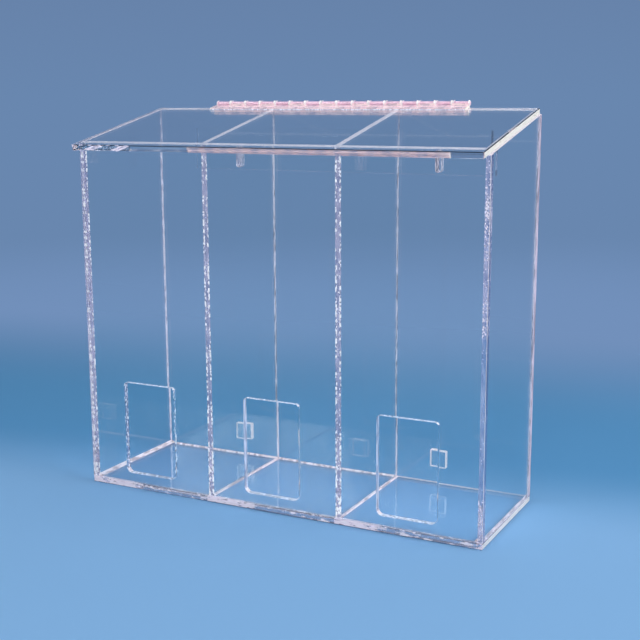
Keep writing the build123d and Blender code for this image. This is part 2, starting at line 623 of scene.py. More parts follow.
@dataclass(frozen=True)
class BubbledJoint:
    """A solvent joint whose trapped bubbles and dry spots read as white dots.

    The dots grow together near the floor, where the cement pooled. Where a
    filled_half is set, the cement ran in well that far up and down from
    filled_middle, so the dots there are few and the tint is cool.
    """

    name: str
    dot_share: float
    cell_size: float = 2.6 * MM
    dot_change: float = 0.12
    dot_softness: float = 0.04
    patch_size: float = 30 * MM
    patch_span: Span = (0.35, 0.65)
    foot_span: Span = (22.5 * MM, 75 * MM)
    foot_growth: float = 0.12
    stretch: float = 1.5
    bright: str = "#fffbfd"
    glow: float = 0.4
    clear_tint: str = "#a3abc9"
    clear_roughness: float = 0.05
    haze: float = 0.07
    haze_colour: str = "#e6d2ee"
    filled_middle: float = 0.0
    filled_half: float = 0.0
    filled_loss: float = 0.27
    filled_tint: str = "#6fa3d4"

    def dot_level(self, tree: Tree, place: Socket, height: Socket) -> Socket:
        """Add the dots as a level that is above 0 inside a dot.

        Args:
            tree: The material's node tree.
            place: The place on the piece.
            height: The height above the floor.

        Returns:
            The level.
        """
        run = add_node(
            tree, "ShaderNodeMapping", {"Vector": place, "Scale": (1.0, 1.0, 1 / self.stretch)}
        )
        cells = add_node(
            tree,
            "ShaderNodeTexVoronoi",
            {"Vector": run.outputs["Vector"], "Scale": 1 / self.cell_size},
        )
        patches = add_node(
            tree,
            "ShaderNodeTexNoise",
            {"Vector": place, "Scale": 1 / self.patch_size, "Detail": 2.0},
        )
        size = add_node(
            tree,
            "ShaderNodeMapRange",
            {
                "Value": patches.outputs["Fac"],
                "From Min": self.patch_span[0],
                "From Max": self.patch_span[1],
                "To Min": self.dot_share - self.dot_change,
                "To Max": self.dot_share + self.dot_change,
            },
        )
        foot = add_node(
            tree,
            "ShaderNodeMapRange",
            {
                "Value": height,
                "From Min": self.foot_span[0],
                "From Max": self.foot_span[1],
                "To Min": self.foot_growth,
                "To Max": 0.0,
            },
        )
        reach = add_node(
            tree, "ShaderNodeMath", {0: size.outputs["Result"], 1: foot.outputs["Result"]}
        )
        inside = add_node(
            tree,
            "ShaderNodeMath",
            {0: reach.outputs[0], 1: cells.outputs["Distance"]},
            operation="SUBTRACT",
        )
        return inside.outputs[0]

    def fill(self, tree: Tree, height: Socket, level: Socket) -> tuple[Socket, Socket]:
        """Shrink the dots and cool the tint in the well-filled stretch.

        Args:
            tree: The material's node tree.
            height: The height above the floor.
            level: The level of the dots so far.

        Returns:
            The lowered level and the tint.
        """
        filled = add_node(
            tree,
            "ShaderNodeMath",
            {0: height, 1: self.filled_middle, 2: self.filled_half},
            operation="COMPARE",
        ).outputs[0]
        lowered = add_node(
            tree,
            "ShaderNodeMath",
            {0: filled, 1: -self.filled_loss, 2: level},
            operation="MULTIPLY_ADD",
        )
        ends = {"A": linear_colour(self.clear_tint), "B": linear_colour(self.filled_tint)}
        tint = add_node(tree, "ShaderNodeMix", {"Factor": filled, **ends}, data_type="RGBA")
        return lowered.outputs[0], tint.outputs["Result"]

    def material(self) -> Material:
        """Build the material: white dots on a nearly clear, hazy joint.

        Returns:
            The finished material.
        """
        mat = empty_material(self.name)
        tree = mat.node_tree
        place = add_node(tree, "ShaderNodeTexCoord").outputs["Object"]
        height = add_node(tree, "ShaderNodeSeparateXYZ", {0: place}).outputs["Z"]
        level = self.dot_level(tree, place, height)
        tint: Socket | Colour = linear_colour(self.clear_tint)
        if self.filled_half:
            level, tint = self.fill(tree, height, level)
        dots = add_node(
            tree,
            "ShaderNodeMapRange",
            {"Value": level, "From Min": -self.dot_softness, "From Max": self.dot_softness},
        )
        shade = {"Color": linear_colour(self.bright)}
        scatter = add_node(tree, "ShaderNodeBsdfDiffuse", shade)
        through = add_node(tree, "ShaderNodeBsdfTranslucent", shade)
        white = add_node(
            tree,
            "ShaderNodeMixShader",
            {0: self.glow, 1: scatter.outputs[0], 2: through.outputs[0]},
        )
        clear = add_node(
            tree,
            "ShaderNodeBsdfPrincipled",
            {
                "Base Color": tint,
                "Roughness": self.clear_roughness,
                "IOR": ACRYLIC_IOR,
                "Transmission Weight": 1.0,
            },
        )
        haze = add_node(
            tree, "ShaderNodeBsdfDiffuse", {"Color": linear_colour(self.haze_colour)}
        )
        wet = add_node(
            tree, "ShaderNodeMixShader", {0: self.haze, 1: clear.outputs[0], 2: haze.outputs[0]}
        )
        mix = add_node(
            tree,
            "ShaderNodeMixShader",
            {0: dots.outputs["Result"], 1: wet.outputs[0], 2: white.outputs[0]},
        )
        add_node(tree, "ShaderNodeOutputMaterial", {"Surface": mix.outputs[0]})
        return mat


class Finishes:
    """The dispenser's materials, each built once and shared."""

    def __init__(self) -> None:
        """Build every material."""
        self.face = CastFace().material()
        # A sanded saw cut on the outside glows near-white, in faint streaks.
        self.sawn = ScatteringEdge(
            name="acrylic_edge_sawn_and_sanded",
            bright="#fffdfb",
            dim="#efdbe6",
            speck_size=1.4 * MM,
            white_from=0.28,
            white_to=0.44,
            least_white=0.70,
            streak=6.0,
            grain_axis=1,
        ).material()
        # The floor's front edge was wetted by cement, so its white comes in runs.
        self.wetted = ScatteringEdge(
            name="acrylic_edge_sawn_and_wetted",
            bright="#fffafa",
            dim="#e6cfe4",
            speck_size=2.6 * MM,
            white_from=0.52,
            white_to=0.61,
            least_white=0.22,
            streak=3.5,
            grain_axis=0,
            patch_size=30 * MM,
            patch_depth=0.08,
            run_pitch=150.283 * MM,
            run_start=-228.6 * MM,
            run_share=0.46,
            run_rise=0.20,
            clear_roughness=0.05,
            clear_tint="#d9e4f6",
        ).material()
        # Bubbles and dry spots in the cement read as white dots on clear.
        self.joint_rim = BubbledJoint("acrylic_joint_with_many_bubbles", 0.46).material()
        self.joint_core = BubbledJoint(
            "acrylic_joint_with_few_bubbles", 0.10, foot_growth=0.30
        ).material()
        # The right side's joint filled better, so its bubbles are sparse and pale.
        self.joint_pale = BubbledJoint(
            "acrylic_joint_with_sparse_bubbles",
            0.33,
            cell_size=2.1 * MM,
            dot_change=0.14,
            patch_size=60 * MM,
            bright="#f4e9f1",
            clear_tint="#9bb0d6",
            haze=0.06,
            filled_middle=125 * MM,
            filled_half=78 * MM,
        ).material()
        # These ends were scraped smooth, so they stay half clear and lavender.
        self.scraped = ScatteringEdge(
            name="acrylic_edge_scraped",
            bright="#f7effa",
            dim="#cdbfe2",
            speck_size=3 * MM,
            white_from=0.48,
            white_to=0.85,
            least_white=0.04,
            streak=8.0,
            patch_size=90 * MM,
            patch_depth=0.2,
            clear_roughness=0.06,
            clear_tint="#b4c3e0",
        ).material()
        # The lid's left end was polished along its length, leaving dark and white dashes.
        self.dashed = ScatteringEdge(
            name="acrylic_edge_part_polished",
            bright="#fff6fa",
            dim="#dcc6dc",
            speck_size=3.5 * MM,
            white_from=0.40,
            white_to=0.52,
            least_white=0.45,
            streak=3.0,
            grain_axis=1,
            clear_roughness=0.05,
            clear_tint="#9fb0cf",
        ).material()
        # Below that polish the end is darker, in dark dashes.
        self.dark_dashed = ScatteringEdge(
            name="acrylic_edge_with_dark_dashes",
            bright="#3a4052",
            dim="#20263a",
            speck_size=1.4 * MM,
            white_from=0.53,
            white_to=0.59,
            least_white=0.0,
            streak=4.0,
            grain_axis=1,
            clear_roughness=0.05,
            clear_tint="#c9d4ea",
            glow=0.1,
        ).material()
        # Squeezed-out cement dries into a white fillet with a faint pink cast.
        self.bead = ScatteringEdge(
            name="acrylic_cement_fillet",
            bright="#ffffff",
            dim="#edccd9",
            speck_size=4 * MM,
            white_from=0.36,
            white_to=0.52,
            least_white=0.45,
            streak=4.0,
            grain_axis=1,
            patch_size=50 * MM,
            patch_depth=0.08,
        ).material()
        # A well-filled joint shows as one even, faintly pink line.
        self.joined = ScatteringEdge(
            name="acrylic_joint_cemented_evenly",
            bright="#fff9fc",
            dim="#e3cfe2",
            speck_size=3 * MM,
            white_from=0.32,
            white_to=0.50,
            least_white=0.3,
            streak=4.0,
            patch_size=110 * MM,
            patch_depth=0.14,
            clear_roughness=0.08,
        ).material()
        # The back's outer ends were sanded finer, so they stay darker and pinker.
        self.sanded = ScatteringEdge(
            name="acrylic_edge_sanded_fine",
            bright="#fdeff9",
            dim="#dfc6de",
            speck_size=4 * MM,
            white_from=0.30,
            white_to=0.55,
            least_white=0.45,
            streak=7.0,
            patch_size=120 * MM,
            patch_depth=0.12,
        ).material()
        # A router leaves fine ripples, which stay mostly white.
        self.routed = ScatteringEdge(
            name="acrylic_edge_routed_and_flamed",
            bright="#f8fbff",
            dim="#c6d4f2",
            speck_size=2.5 * MM,
            white_from=0.38,
            white_to=0.56,
            least_white=0.35,
            streak=3.0,
            patch_size=90 * MM,
            patch_depth=0.10,
            clear_tint="#d5e0f2",
        ).material()
        # Window jambs were flamed twice: nearly clear, with fine lines and sparkles left.
        self.flamed = ScatteringEdge(
            name="acrylic_edge_flamed_clear",
            bright="#ffffff",
            dim="#d3dff5",
            speck_size=1.7 * MM,
            white_from=0.55,
            white_to=0.62,
            least_white=0.05,
            streak=3.0,
            clear_roughness=0.05,
            clear_tint="#dfe8f6",
        ).material()
        # A slower pass of the flame leaves a jamb even and half clear.
        self.glazed = ScatteringEdge(
            name="acrylic_edge_flamed_even",
            bright="#f1f3ff",
            dim="#bccbf0",
            speck_size=5 * MM,
            white_from=0.40,
            white_to=0.75,
            least_white=0.22,
            streak=6.0,
            clear_tint="#e4ebf8",
        ).material()
        # Slot walls were cut with a plunging bit: clear, with pink-white chatter lines.
        self.slotted = ScatteringEdge(
            name="acrylic_edge_plunge_cut",
            bright="#fffbfd",
            dim="#e9cfe0",
            speck_size=2.2 * MM,
            white_from=0.44,
            white_to=0.58,
            least_white=0.20,
            streak=4.0,
            clear_tint="#e6d9ea",
        ).material()
        # A moulded part keeps the die's gloss, with a faint warm cast.
        self.moulded = CastFace(
            name="moulded_acrylic_gloss",
            tint="#fff8fb",
            lamp_pass="#f6f2f4",
            wave_length=25 * MM,
            wave_height=0.01 * MM,
        ).material()
        # The bore was drilled, so it scatters and seems to fill the barrel.
        self.bored = ScatteringEdge(
            name="acrylic_bore_drilled",
            bright="#fae8f0",
            dim="#e4bfd0",
            speck_size=1.5 * MM,
            white_from=0.25,
            white_to=0.45,
            least_white=0.55,
            streak=6.0,
            grain_axis=0,
        ).material()
        # Knuckle ends and the floor's right end were cut and left dry: the whitest places, partly
        # painted light where they face the lamps on the right.
        self.dry_cut_and_painted_light = ScatteringEdge(
            name="acrylic_cut_dry_and_painted_light",
            bright="#ffffff",
            dim="#fffefb",
            speck_size=1.0 * MM,
            white_from=0.20,
            white_to=0.30,
            least_white=0.95,
        ).material()
        # Saw cuts left dry on the lid's right end and the leaves' ends are ivory white, partly
        # painted warm light from the right.
        self.dry_end_and_painted_light = ScatteringEdge(
            name="acrylic_edge_sawn_dry_and_painted_light",
            bright="#fffef9",
            dim="#f8eddc",
            speck_size=2.0 * MM,
            white_from=0.30,
            white_to=0.42,
            least_white=0.80,
            streak=5.0,
            grain_axis=1,
        ).material()
        # The film of cement under a leaf is pink-white, with unfilled streaks.
        self.film = ScatteringEdge(
            name="acrylic_cement_film",
            bright="#fff8f4",
            dim="#f3c5cf",
            speck_size=2.4 * MM,
            white_from=0.44,
            white_to=0.60,
            least_white=0.38,
            streak=4.0,
            grain_axis=0,
            run_pitch=19.05 * MM,
            run_start=-157.0 * MM,
            run_share=0.5,
            run_rise=0.22,
        ).material()
        # The floor's broken lower edge is painted dark: a painted contact shadow where it meets
        # the floor.
        self.painted_contact_shadow = ScatteringEdge(
            name="acrylic_arris_painted_contact_shadow",
            bright="#3d4356",
            dim="#252b3c",
            speck_size=2 * MM,
            white_from=0.25,
            white_to=0.42,
            least_white=0.1,
            patch_size=130 * MM,
            patch_depth=0.3,
            clear_roughness=0.05,
            glow=0.1,
        ).material()


# ---------------------------------------------------------------------------
# What the sub-assemblies share
# ---------------------------------------------------------------------------
class Slot(Enum):
    """The record's material slots."""

    SHEET = "clear_sheet"
    MOULDING = "clear_moulding"


class Body(Enum):
    """The bodies that pieces ride on."""

    CASE = "case"
    LID = "lid"


class Seat:
    """The sloping plane that the lid rests on, found from the frame."""

    def __init__(self) -> None:
        """Read the slope from the front and back panels' tops."""
        front_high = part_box("front_panel")[1]
        back_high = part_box("back_panel")[1]
        rise = Vector((0, back_high.y - front_high.y, back_high.z - front_high.z))
        self.along = rise.normalized()
        self.normal = Vector((1, 0, 0)).cross(self.along)
        self.point = Vector((0, back_high.y, back_high.z))
        self.tilt = self.along.angle(LEVEL)

    def height(self, y: float) -> float:
        """Height of the seat at a place from front to back."""
        return self.point.z + (y - self.point.y) * self.along.z / self.along.y


@dataclass
class Assembly:
    """A sub-assembly: its finishes, and how a piece is dressed and tied."""

    finishes: Finishes

    def hand_over(
        self,
        piece: Object,
        pick: Callable[[Face], Material],
        node: str = "",
        body: Body = Body.CASE,
        slot: Slot = Slot.SHEET,
    ) -> Object:
        """Give each face of a piece its material, and tie the piece to the frame.

        Args:
            piece: The modelled piece.
            pick: Called with each face; returns its material.
            node: The frame's node that the piece replaces, if there is one.
            body: The body that it rides on.
            slot: The record's material slot that it would take its finish from; not used.

        Returns:
            The same piece.
        """
        slots: list[Material] = []
        piece.data.materials.clear()
        for face in piece.data.polygons:
            mat = pick(face)
            if mat not in slots:
                slots.append(mat)
                piece.data.materials.append(mat)
            face.material_index = slots.index(mat)
        if node:
            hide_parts(node)
        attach(piece, body.value)
        return piece


# ---------------------------------------------------------------------------
# The case
# ---------------------------------------------------------------------------
@dataclass
class Case(Assembly):
    """The welded case: base, walls, dividers and their edges."""

    seat: Seat
    window_width: float = 63.5 * MM
    window_height: float = 101.6 * MM
    window_sill: float = 17.45 * MM
    window_lower_radius: float = 6.35 * MM
    window_upper_radius: float = 3.2 * MM
    corner_slant: float = 0.3
    jamb_slant: float = 0.7
    slot_width: float = 6.35 * MM
    slot_length: float = 19.05 * MM
    slot_spacing: float = 244.5 * MM
    slot_bottom: float = 344.5 * MM
    slot_round: float = 0.999
    joint_core: float = 2.6 * MM
    arris: float = 0.35 * MM
    base_arris: float = 0.7 * MM

    def build(self) -> list[Object]:
        """Build and dress every piece of the case.

        Returns:
            The floor, front, back, sides and dividers.
        """
        uprights = ("left_side_panel", "right_side_panel", "left_divider", "right_divider")
        return [self.base(), self.front(), self.back(), *map(self.upright, uprights)]

    def base(self) -> Object:
        """Build the floor plate.

        Returns:
            The dressed plate.
        """
        piece = block("base_sheet", *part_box("base_panel"))
        break_edges(piece, self.base_arris)
        finishes = self.finishes

        def pick(face: Face) -> Material:
            """Choose polished, sawn, dry end with painted light, wetted front, or lower arris with
            painted contact shadow.

            Args:
                face: A face of the plate.

            Returns:
                Its material.
            """
            if abs(face.normal.z) > SQUARE or face.normal.y > SQUARE:
                return finishes.face
            # The lower arris carries the painted contact shadow.
            if face.normal.z < -LEANING:
                return finishes.painted_contact_shadow
            if face.normal.z > LEANING and face.normal.x > LEANING:
                return finishes.face
            # The floor's right end is painted whitest, partly as painted light from the right.
            if face.normal.x > SQUARE:
                return finishes.dry_cut_and_painted_light
            return finishes.wetted if face.normal.y < -LEANING else finishes.sawn

        return self.hand_over(piece, pick, "base_panel")

    def wall(self, name: str, node: str) -> Object:
        """Model a full-width wall, let into the floor by the weld's depth.

        Args:
            name: The new object's name.
            node: The frame's node that gives its size.

        Returns:
            The wall, with its top cut to the slope of the seat.
        """
        low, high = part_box(node)
        weld = Vector((0, 0, WELD_DEPTH))
        piece = block(name, low - weld, high + Vector((0, 0, CUT_MARGIN)))
        split(piece, self.seat.point, self.seat.normal, trim=True)
        return piece

    def window_cutter(self, low_y: float, high_y: float) -> Object:
        """Model the body that cuts the middle window, with its four corners rounded.

        Args:
            low_y: The front's outer face.
            high_y: The front's inner face.

        Returns:
            The cutter.
        """
        half = self.window_width / 2
        sill = self.window_sill
        head = sill + self.window_height
        cutter = block(
            "window_cutter",
            Vector((-half, low_y - CUT_MARGIN, sill)),
            Vector((half, high_y + CUT_MARGIN, head)),
        )
        for radius, level in ((self.window_lower_radius, sill), (self.window_upper_radius, head)):
            bevel_edges(
                cutter,
                lambda edge, level=level: runs_through(edge)
                and all(abs(v.co.z - level) < self.arris for v in edge.verts),
                radius,
                ROUND_SEGMENTS,
            )
        return cutter

    def front(self) -> Object:
        """Build the front with its windows.

        Returns:
            The dressed front.
        """
        low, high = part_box("front_panel")
        piece = self.wall("front_sheet", "front_panel")
        divider_low, divider_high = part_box("right_divider")
        pitch = divider_low.x + divider_high.x
        cutter = self.window_cutter(low.y, high.y)
        combine(piece, [cutter], Blend.CUT, (-pitch, 0.0, pitch))
        break_edges(piece, self.arris)
        side_limit = high.x - CUT_MARGIN
        rim_low = self.window_sill - self.arris * 2
        rim_high = self.window_sill + self.window_height + self.arris * 2
        finishes = self.finishes

        def pick(face: Face) -> Material:
            """Choose polished, scraped end, sawn top, wetted foot or a window's rim.

            The router dwelt in two of a window's corners, and left them white. The
            first window's jambs sparkle, and the others are even or fully clear.

            Args:
                face: A face of the front.

            Returns:
                Its material.
            """
            x, _, z = face.center
            if abs(face.normal.y) > SQUARE:
                return finishes.face
            if abs(face.normal.x) > SQUARE and abs(x) > side_limit:
                return finishes.scraped
            if not (rim_low < z < rim_high and abs(x) < side_limit):
                return finishes.wetted if face.normal.z < -LEANING else finishes.sawn
            if face.normal.x * face.normal.z > self.corner_slant:
                return finishes.sawn
            if abs(face.normal.x) < self.jamb_slant:
                return finishes.routed
            if x < -pitch / 2:
                return finishes.flamed
            return finishes.glazed if face.normal.x > 0 else finishes.face

        return self.hand_over(piece, pick, "front_panel")

    def cut_slots(self, piece: Object, low_y: float, high_y: float) -> None:
        """Cut both hanging slots through a sheet, round at both ends.

        Args:
            piece: The sheet.
            low_y: Its nearer face.
            high_y: Its further face.
        """
        half = self.slot_width / 2
        cutter = block(
            "slot_cutter",
            Vector((-half, low_y - CUT_MARGIN, self.slot_bottom)),
            Vector((half, high_y + CUT_MARGIN, self.slot_bottom + self.slot_length)),
        )
        # A hair under half the width keeps the two rounds from meeting in doubles.
        bevel_edges(cutter, runs_through, half * self.slot_round, ROUND_SEGMENTS)
        combine(piece, [cutter], Blend.CUT, (-self.slot_spacing / 2, self.slot_spacing / 2))

    def back(self) -> Object:
        """Build the back with its hanging slots.

        Returns:
            The dressed back.
        """
        low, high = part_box("back_panel")
        piece = self.wall("back_sheet", "back_panel")
        self.cut_slots(piece, low.y, high.y)
        break_edges(piece, self.arris)
        inside = high.x - CUT_MARGIN
        finishes = self.finishes

        def pick(face: Face) -> Material:
            """Choose polished, sawn edge, slot wall or sanded end.

            Args:
                face: A face of the back.

            Returns:
                Its material.
            """
            if abs(face.normal.y) > SQUARE:
                return finishes.face
            if abs(face.center.x) < inside:
                return finishes.slotted if abs(face.normal.x) > TURNED else finishes.sawn
            return finishes.sanded if abs(face.normal.x) > LEANING else finishes.sawn

        return self.hand_over(piece, pick, "back_panel")

    def upright(self, node: str) -> Object:
        """Build a side or a divider, let into its neighbours by the weld's depth.

        Args:
            node: The frame's node that it replaces.

        Returns:
            The dressed sheet.
        """
        low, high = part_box(node)
        piece = block(
            node.replace("panel", "sheet").replace("divider", "divider_sheet"),
            low - Vector((0, WELD_DEPTH, WELD_DEPTH)),
            high + Vector((0, WELD_DEPTH, CUT_MARGIN)),
        )
        split(piece, self.seat.point, self.seat.normal, trim=True)
        middle = (low.x + high.x) / 2
        half_core = self.joint_core / 2
        for side in (-1, 1):
            split(piece, Vector((middle + side * half_core, 0, 0)), Vector((1, 0, 0)))
        finishes = self.finishes
        rim, core = finishes.joint_rim, finishes.joint_core
        if node == "right_side_panel":
            rim = core = finishes.joint_pale

        def pick(face: Face) -> Material:
            """Choose polished, front joint, other joint or sawn top.

            Args:
                face: A face of the sheet.

            Returns:
                Its material.
            """
            if abs(face.normal.x) > SQUARE:
                return finishes.face
            if face.normal.y < -SQUARE:
                return core if abs(face.center.x - middle) < half_core else rim
            return finishes.sawn if face.normal.z > LEANING else finishes.joined

        return self.hand_over(piece, pick, node)


@dataclass
class FloorBeads(Assembly):
    """Small fillets of squeezed-out cement along the floor's inner joints."""

    # At the sides the fillet is wider: partly cement, partly a painted band of the light and shade
    # that the floor's end casts beneath it.
    painted_band_side_leg: float = 3.2 * MM
    divider_leg: float = 1.1 * MM
    wall_leg: float = 1.8 * MM
    sunk: float = 0.1 * MM

    def bead(self, name: str, low: Vector, high: Vector, normal: Vector) -> Object:
        """Model one fillet: a square bar cut along its diagonal.

        Args:
            name: The new object's name.
            low: Lowest corner of the bar.
            high: Highest corner of the bar.
            normal: Direction that the fillet's sloping face looks in.

        Returns:
            The dressed fillet, riding on the case.
        """
        piece = block(name, low, high)
        split(piece, (low + high) / 2, normal, trim=True)
        return self.hand_over(piece, lambda face: self.finishes.bead)

    def build(self) -> list[Object]:
        """Lay a fillet at the inner sides of every upright and along most of the back.

        Returns:
            The fillets.
        """
        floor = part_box("base_panel")[1].z
        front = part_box("front_panel")[1].y
        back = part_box("back_panel")[0].y
        beads = []
        for node in ("left_side_panel", "left_divider", "right_divider", "right_side_panel"):
            low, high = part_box(node)
            leg = self.painted_band_side_leg if "side" in node else self.divider_leg
            for word, x, way in (("left", low.x, -1), ("right", high.x, 1)):
                if node == f"{word}_side_panel":
                    continue
                near, far = sorted((x - way * self.sunk, x + way * leg))
                beads.append(
                    self.bead(
                        f"{node}_{word}_bead",
                        Vector((near, front, floor - self.sunk)),
                        Vector((far, back, floor + leg)),
                        Vector((way, 0, 1)),
                    )
                )
        # The right bay's joint was wiped clean, so the fillet stops at its divider.
        left_wall, right_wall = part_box("left_side_panel")[1].x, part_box("right_divider")[0].x
        beads.append(
            self.bead(
                "back_panel_bead",
                Vector((left_wall, back - self.wall_leg, floor - self.sunk)),
                Vector((right_wall, back + self.sunk, floor + self.wall_leg)),
                Vector((0, -1, 1)),
            )
        )
        return beads


@dataclass
class WallFittings(Assembly):
    """The hanging strip and the two lower spacers, cemented to the back."""

    case: Case
    arris: float = 0.4 * MM

    def build(self) -> list[Object]:
        """Build and dress the strip and both spacers.

        Returns:
            The three plates.
        """
        return [
            self.plate("hanging_strip", "hanging_strip_sheet"),
            self.plate("left_wall_spacer", "left_wall_block"),
            self.plate("right_wall_spacer", "right_wall_block"),
        ]

    def plate(self, node: str, name: str) -> Object:
        """Build a plate cemented to the back by its front face.

        Args:
            node: The frame's node that it replaces.
            name: The new object's name.

        Returns:
            The dressed plate, with the hanging slots where it has them.
        """
        low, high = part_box(node)
        piece = block(name, low - Vector((0, WELD_DEPTH, 0)), high)
        is_strip = node == "hanging_strip"
        if is_strip:
            self.case.cut_slots(piece, low.y, high.y)
        break_edges(piece, self.arris)
        inside = high.x - CUT_MARGIN
        finishes = self.finishes
        edge = finishes.scraped if is_strip else finishes.sawn

        def pick(face: Face) -> Material:
            """Choose polished, outer edge or slot wall.

            Args:
                face: A face of the plate.

            Returns:
                Its material.
            """
            if abs(face.normal.y) > SQUARE:
                return finishes.face
            at_slot = is_strip and abs(face.center.x) < inside and abs(face.normal.x) > TURNED
            return finishes.slotted if at_slot else edge

        return self.hand_over(piece, pick, node)


# ---------------------------------------------------------------------------
# The lid and its hinge
# ---------------------------------------------------------------------------
@dataclass
class Lid(Assembly):
    """The flat lid, modelled level and then laid on the seat."""

    seat: Seat
    thickness: float = 6.35 * MM
    overhang: float = 14.3 * MM
    back_clearance: float = 0.5 * MM
    rest_gap: float = 0.08 * MM
    arris: float = 0.7 * MM
    dark_dash_height: float = 3.9 * MM

    def build(self) -> list[Object]:
        """Build and dress the lid.

        Returns:
            The lid alone.
        """
        low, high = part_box("lid_panel")
        front_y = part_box("front_panel")[0].y
        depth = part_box("back_panel")[1].y - front_y - self.back_clearance
        seat = self.seat
        piece = block(
            "lid_sheet",
            Vector((low.x, -self.overhang / seat.along.y + self.rest_gap, self.rest_gap)),
            Vector((high.x, depth / seat.along.y, self.thickness)),
        )
        break_edges(piece, self.arris)
        split(
            piece,
            Vector((0, 0, self.dark_dash_height)),
            Vector((0, 0, 1)),
            test=lambda face: face.normal.x < -SQUARE,
        )
        finishes = self.finishes

        def pick(face: Face) -> Material:
            """Choose polished, dry right end with painted light, or left end above and below.

            The front and back edges and every other arris were polished clear.

            Args:
                face: A face of the lid, still level.

            Returns:
                Its material.
            """
            if face.normal.x < -LEANING:
                return finishes.dark_dashed if face.center.z < self.dark_dash_height else finishes.dashed
            # The lid's right end is painted ivory white, partly as painted light from the right.
            return finishes.dry_end_and_painted_light if face.normal.x > SQUARE else finishes.face

        self.hand_over(piece, pick, "lid_panel", Body.LID)
        corner = Matrix.Translation((0, front_y, seat.height(front_y)))
        piece.data.transform(corner @ Matrix.Rotation(seat.tilt, 4, "X"))
        return [piece]


